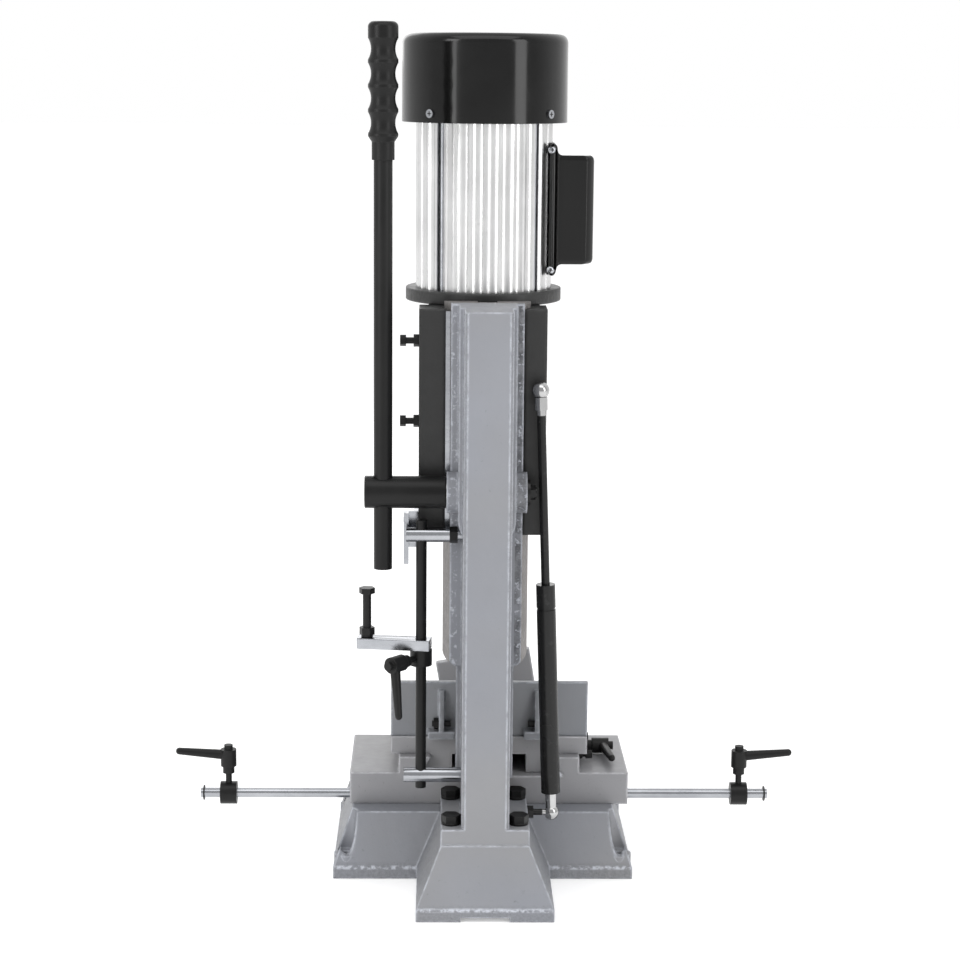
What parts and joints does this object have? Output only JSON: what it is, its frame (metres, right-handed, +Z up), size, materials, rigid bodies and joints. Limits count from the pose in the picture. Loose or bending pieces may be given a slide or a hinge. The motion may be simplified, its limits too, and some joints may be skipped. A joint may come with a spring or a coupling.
{
  "type": "hollow chisel mortiser",
  "caption": "Bench hollow chisel mortiser with a motor head on a dovetail column, feed lever, gas strut, depth stop and cross slide table.",
  "frame": {"origin": "centre of the bench bolt pattern on the bench, below the spindle's line", "axes": "+Z up, -Y towards the operator at the front, +X to the operator's right hand"},
  "size_m": [0.5974, 0.422, 0.809],
  "materials": {
    "grey_casting": "sprayed grey paint over a rough casting",
    "machined_grey": "ground and painted grey iron",
    "black_casting": "black paint over a casting",
    "black_steel": "blackened steel",
    "bright_steel": "zinc-plated or turned bright",
    "gear_steel": "oiled machined steel",
    "motor_aluminium": "extruded and brushed",
    "gloss_black": "glossy black",
    "black_plastic": "moulded black",
    "copper_windings": "varnished copper and laminations",
    "green_button": "moulded green",
    "red_button": "moulded red"
  },
  "bodies": {
    "frame": {"base_casting": "grey_casting", "column": "grey_casting", "column_bolts": "black_steel", "depth_pins": "bright_steel", "depth_rod": "black_steel", "strut_lower_stud": "black_steel", "travel_rod": "bright_steel", "rod_clips": "bright_steel"},
    "cross_slide": {"cross_slide_block": "machined_grey", "x_rack": "gear_steel", "y_gib": "bright_steel", "y_gib_screws": "black_steel"},
    "table_lock": {"table_lock_lever": "black_plastic"},
    "x_drive": {"x_pinion_shaft": "gear_steel", "x_handwheel": "black_plastic"},
    "table": {"table_slide": "machined_grey", "work_table": "machined_grey", "fence_bolts": "black_steel", "clamp_bracket": "black_casting"},
    "y_drive": {"y_leadscrew": "bright_steel", "y_handwheel": "black_plastic"},
    "jaw": {"clamp_jaw": "machined_grey"},
    "clamp_drive": {"clamp_screw": "bright_steel", "clamp_handwheel": "black_plastic"},
    "left_stop": {"stop_collar_left": "black_steel"},
    "right_stop": {"stop_collar_right": "black_steel"},
    "left_stop_lever": {"stop_lever_left": "black_plastic"},
    "right_stop_lever": {"stop_lever_right": "black_plastic"},
    "depth_arm": {"depth_collar": "black_steel", "depth_bar": "bright_steel"},
    "depth_screw": {"depth_bolt": "black_steel"},
    "depth_clamp": {"depth_lever": "black_plastic"},
    "head": {"head_casting": "black_casting", "head_gib": "bright_steel", "head_screws": "black_steel", "stop_bracket": "bright_steel", "feed_rack": "gear_steel", "motor_flange": "black_casting", "motor_body": "motor_aluminium", "stator": "copper_windings", "motor_bearings": "bright_steel", "end_shield": "motor_aluminium", "fan_cover": "gloss_black", "cover_screws": "bright_steel", "capacitor_box": "gloss_black", "chisel_bush": "bright_steel", "hollow_chisel": "bright_steel", "switch_box": "black_plastic"},
    "spindle": {"rotor_shaft": "bright_steel", "cooling_fan": "black_plastic", "chuck": "bright_steel", "auger_bit": "bright_steel"},
    "door": {"chuck_door": "black_plastic"},
    "start": {"start_button": "green_button"},
    "stop": {"stop_button": "red_button"},
    "strut_tube": {"strut_cylinder": "black_steel"},
    "strut_piston": {"strut_rod": "black_steel"},
    "feed": {"pinion_shaft": "bright_steel", "feed_hub": "black_steel", "feed_lever": "black_plastic"}
  },
  "joints": [
    {"name": "head_slide", "type": "slide", "parent": "frame", "child": "head", "axis": [0, 0, -1], "range_m": [0, 0.064], "stiffness_N_per_m": 1500, "springref_m": -0.2},
    {"name": "feed_turn", "type": "hinge", "parent": "frame", "child": "feed", "pos_m": [0, 0.114, 0.384], "axis": [1, 0, 0], "range_deg": [0, 115]},
    {"name": "strut_swing", "type": "hinge", "parent": "frame", "child": "strut_tube", "pos_m": [-0.064, 0.107, 0.074], "axis": [0, 1, 0], "range_deg": [0, 0.42]},
    {"name": "strut_stroke", "type": "slide", "parent": "strut_tube", "child": "strut_piston", "axis": [0.0371, 0, 0.9993], "range_m": [-0.065, 0]},
    {"name": "spindle_turn", "type": "hinge", "parent": "head", "child": "spindle", "pos_m": [0.0025, 0, 0.45], "axis": [0, 0, 1], "continuous": true},
    {"name": "door_swing", "type": "hinge", "parent": "head", "child": "door", "pos_m": [-0.0375, -0.056, 0.455], "axis": [0, 0, 1], "range_deg": [-110, 0]},
    {"name": "start_press", "type": "slide", "parent": "head", "child": "start", "axis": [0, 1, 0], "range_m": [0, 0.003], "stiffness_N_per_m": 400, "springref_m": -0.002},
    {"name": "stop_press", "type": "slide", "parent": "head", "child": "stop", "axis": [0, 1, 0], "range_m": [0, 0.003], "stiffness_N_per_m": 400, "springref_m": -0.002},
    {"name": "cross_feed", "type": "slide", "parent": "frame", "child": "cross_slide", "axis": [1, 0, 0], "range_m": [-0.08, 0.08]},
    {"name": "cross_wheel", "type": "hinge", "parent": "frame", "child": "x_drive", "pos_m": [-0.006, -0.1, 0.044], "axis": [0, 1, 0], "range_deg": [-200, 200]},
    {"name": "table_lock_turn", "type": "hinge", "parent": "cross_slide", "child": "table_lock", "pos_m": [-0.1, -0.01, 0.104], "axis": [1, 0, 0], "range_deg": [0, 60]},
    {"name": "table_feed", "type": "slide", "parent": "cross_slide", "child": "table", "axis": [0, 1, 0], "range_m": [-0.026, 0.012]},
    {"name": "table_wheel", "type": "hinge", "parent": "table", "child": "y_drive", "pos_m": [-0.006, -0.1, 0.1015], "axis": [0, 1, 0], "range_deg": [-1880, 880]},
    {"name": "jaw_slide", "type": "slide", "parent": "table", "child": "jaw", "axis": [0, 1, 0], "range_m": [-0.02, 0.018]},
    {"name": "clamp_wheel", "type": "hinge", "parent": "jaw", "child": "clamp_drive", "pos_m": [-0.006, -0.1, 0.156], "axis": [0, 1, 0], "range_deg": [-1810, 1630]},
    {"name": "left_stop_slide", "type": "slide", "parent": "frame", "child": "left_stop", "axis": [1, 0, 0], "range_m": [-0.014, 0.018]},
    {"name": "left_lever_turn", "type": "hinge", "parent": "left_stop", "child": "left_stop_lever", "pos_m": [-0.25, 0.044, 0.09], "axis": [0, 0, 1], "range_deg": [-60, 60]},
    {"name": "right_stop_slide", "type": "slide", "parent": "frame", "child": "right_stop", "axis": [1, 0, 0], "range_m": [-0.025, 0.012]},
    {"name": "right_lever_turn", "type": "hinge", "parent": "right_stop", "child": "right_stop_lever", "pos_m": [0.247, 0.044, 0.09], "axis": [0, 0, 1], "range_deg": [-60, 60]},
    {"name": "depth_slide", "type": "slide", "parent": "frame", "child": "depth_arm", "axis": [0, 0, 1], "range_m": [-0.09, 0]},
    {"name": "depth_screw_set", "type": "slide", "parent": "depth_arm", "child": "depth_screw", "axis": [0, 0, 1], "range_m": [0, 0.004]},
    {"name": "depth_lever_turn", "type": "hinge", "parent": "depth_arm", "child": "depth_clamp", "pos_m": [0.06, 0.114, 0.2275], "axis": [0.6428, 0.766, 0], "range_deg": [-60, 60]}
  ],
  "couplings": [
    {"joint": "feed_turn", "follows": "head_slide", "rad_per_m": 31.25},
    {"joint": "strut_swing", "follows": "head_slide", "rad_per_m": 0.10902},
    {"joint": "strut_stroke", "follows": "head_slide", "ratio": -0.99918},
    {"joint": "cross_wheel", "follows": "cross_feed", "rad_per_m": 43.478},
    {"joint": "table_wheel", "follows": "table_feed", "rad_per_m": 1256.6},
    {"joint": "clamp_wheel", "follows": "jaw_slide", "rad_per_m": 1570.8}
  ]
}
